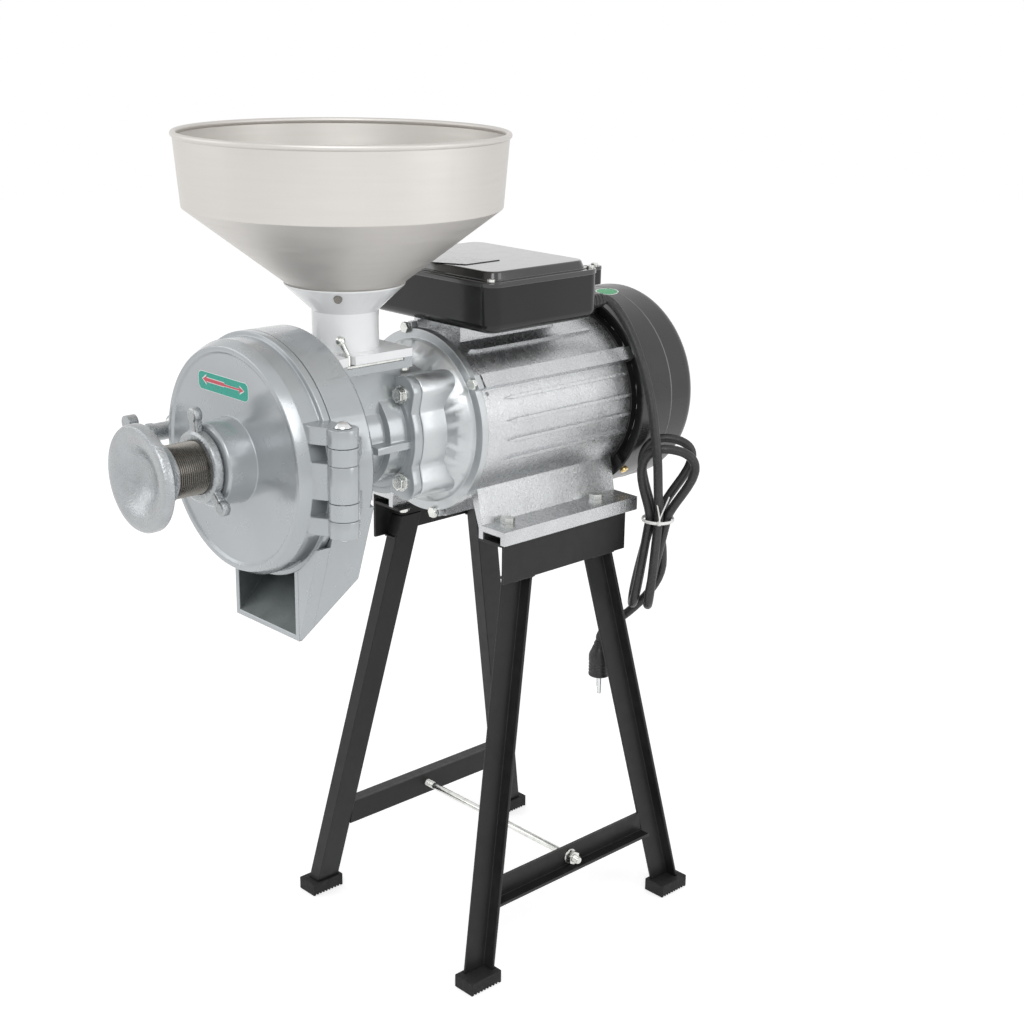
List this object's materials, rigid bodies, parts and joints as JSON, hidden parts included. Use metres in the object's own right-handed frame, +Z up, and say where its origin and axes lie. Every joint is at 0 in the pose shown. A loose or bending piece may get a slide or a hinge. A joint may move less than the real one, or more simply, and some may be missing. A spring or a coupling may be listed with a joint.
{
  "type": "electric grain mill",
  "caption": "Electric grain mill: flange motor on a legged stand, stone grinding head with hinged door and handwheel, funnel hopper with slide gate, and a flour chute.",
  "frame": {"origin": "on the floor, midway between the four rubber feet", "axes": "+Z up; -Y the way the grinding head and handwheel face; +X the side of the door hinge and the cord"},
  "size_m": [0.3058, 0.609, 0.838],
  "materials": {
    "black_paint": "satin black powder coat",
    "zinc": "zinc-plated steel",
    "foot_rubber": "matt black rubber",
    "silver_paint": "hammered silver paint",
    "cast_aluminium": "as-cast aluminium",
    "dark_steel": "dark oiled steel",
    "bright_steel": "bright turned steel",
    "copper": "varnished copper wire",
    "brass": "bright brass",
    "black_plastic": "satin black plastic",
    "cream_plastic": "cream moulded plastic",
    "grey_paint": "glossy light grey paint",
    "stone": "rough emery stone",
    "cast_iron": "ground cast iron",
    "white_enamel": "white enamel",
    "stainless": "polished stainless sheet",
    "cord_rubber": "black cord sheath",
    "white_tie": "white plastic tie"
  },
  "bodies": {
    "mill": {"top_bars": "black_paint", "leg_front_right": "black_paint", "leg_rear_right": "black_paint", "leg_front_left": "black_paint", "leg_rear_left": "black_paint", "crossbars": "black_paint", "tie_rod": "zinc", "tie_rod_nuts": "zinc", "rubber_feet": "foot_rubber", "foot_bolts": "zinc", "motor_frame": "silver_paint", "front_end_bell": "cast_aluminium", "rear_end_bell": "cast_aluminium", "tie_bolts": "dark_steel", "stator_core": "dark_steel", "windings": "copper", "front_bearing": "bright_steel", "rear_bearing": "bright_steel", "fan_cover": "black_plastic", "fan_cover_screws": "brass", "control_box": "black_plastic", "control_box_lid": "black_plastic", "lid_screws": "zinc", "start_capacitor": "black_plastic", "run_capacitor": "bright_steel", "terminal_block": "cream_plastic", "cable_gland": "black_plastic", "feed_housing": "grey_paint", "housing_bolts": "dark_steel", "shaft_seal": "foot_rubber", "grinding_drum": "grey_paint", "drum_screws": "dark_steel", "fixed_stone": "stone", "stone_screws": "dark_steel", "hinge_pin": "bright_steel", "hopper_base": "white_enamel", "hopper": "stainless", "hopper_screws": "dark_steel", "flange_bolts": "dark_steel", "cord_lead": "cord_rubber", "cord_hank": "cord_rubber", "cord_tail": "cord_rubber", "hank_tie": "white_tie", "plug": "black_plastic"},
    "rotor": {"motor_shaft": "bright_steel", "drive_key": "bright_steel", "rotor_core": "cast_aluminium", "cooling_fan": "black_plastic"},
    "grinder": {"auger": "cast_iron", "grinder_spindle": "bright_steel", "rotating_stone": "stone", "stone_nut": "cast_iron"},
    "door_leaf": {"door": "grey_paint"},
    "thrust": {"thrust_cup": "dark_steel"},
    "wheel": {"adjusting_screw": "dark_steel", "handwheel": "cast_aluminium"},
    "locknut": {"lock_nut": "cast_aluminium"},
    "clamp_washer": {"clamp_collar": "zinc"},
    "clamp": {"clamp_knob": "cast_aluminium"},
    "gate": {"feed_gate": "zinc"}
  },
  "joints": [
    {"name": "rotor_spin", "type": "hinge", "parent": "mill", "child": "rotor", "pos_m": [0, 0, 0.556], "axis": [0, 1, 0], "continuous": true},
    {"name": "stone_gap", "type": "slide", "parent": "rotor", "child": "grinder", "axis": [0, 1, 0], "range_m": [-0.0041, 0.00175]},
    {"name": "door_swing", "type": "hinge", "parent": "mill", "child": "door_leaf", "pos_m": [0.127, -0.3, 0.556], "axis": [0, 0, 1], "range_deg": [0, 120]},
    {"name": "thrust_feed", "type": "slide", "parent": "door_leaf", "child": "thrust", "axis": [0, 1, 0], "range_m": [-0.0041, 0.00175]},
    {"name": "wheel_turn", "type": "hinge", "parent": "thrust", "child": "wheel", "pos_m": [0, -0.4, 0.556], "axis": [0, 1, 0], "range_deg": [-720, 306]},
    {"name": "lock_nut_turn", "type": "hinge", "parent": "door_leaf", "child": "locknut", "pos_m": [0, -0.362, 0.556], "axis": [0, 1, 0], "range_deg": [-180, 0]},
    {"name": "clamp_feed", "type": "slide", "parent": "door_leaf", "child": "clamp_washer", "axis": [0, -1, 0], "range_m": [0, 0.0091]},
    {"name": "clamp_turn", "type": "hinge", "parent": "clamp_washer", "child": "clamp", "pos_m": [-0.126, -0.33, 0.556], "axis": [0, -1, 0], "range_deg": [0, 2160]},
    {"name": "gate_slide", "type": "slide", "parent": "mill", "child": "gate", "axis": [1, 0, 0], "range_m": [0, 0.06]}
  ],
  "couplings": [
    {"joint": "stone_gap", "follows": "wheel_turn", "m_per_rad": 0.00031831},
    {"joint": "thrust_feed", "follows": "wheel_turn", "m_per_rad": 0.00031831},
    {"joint": "clamp_feed", "follows": "clamp_turn", "m_per_rad": 0.00023873}
  ]
}
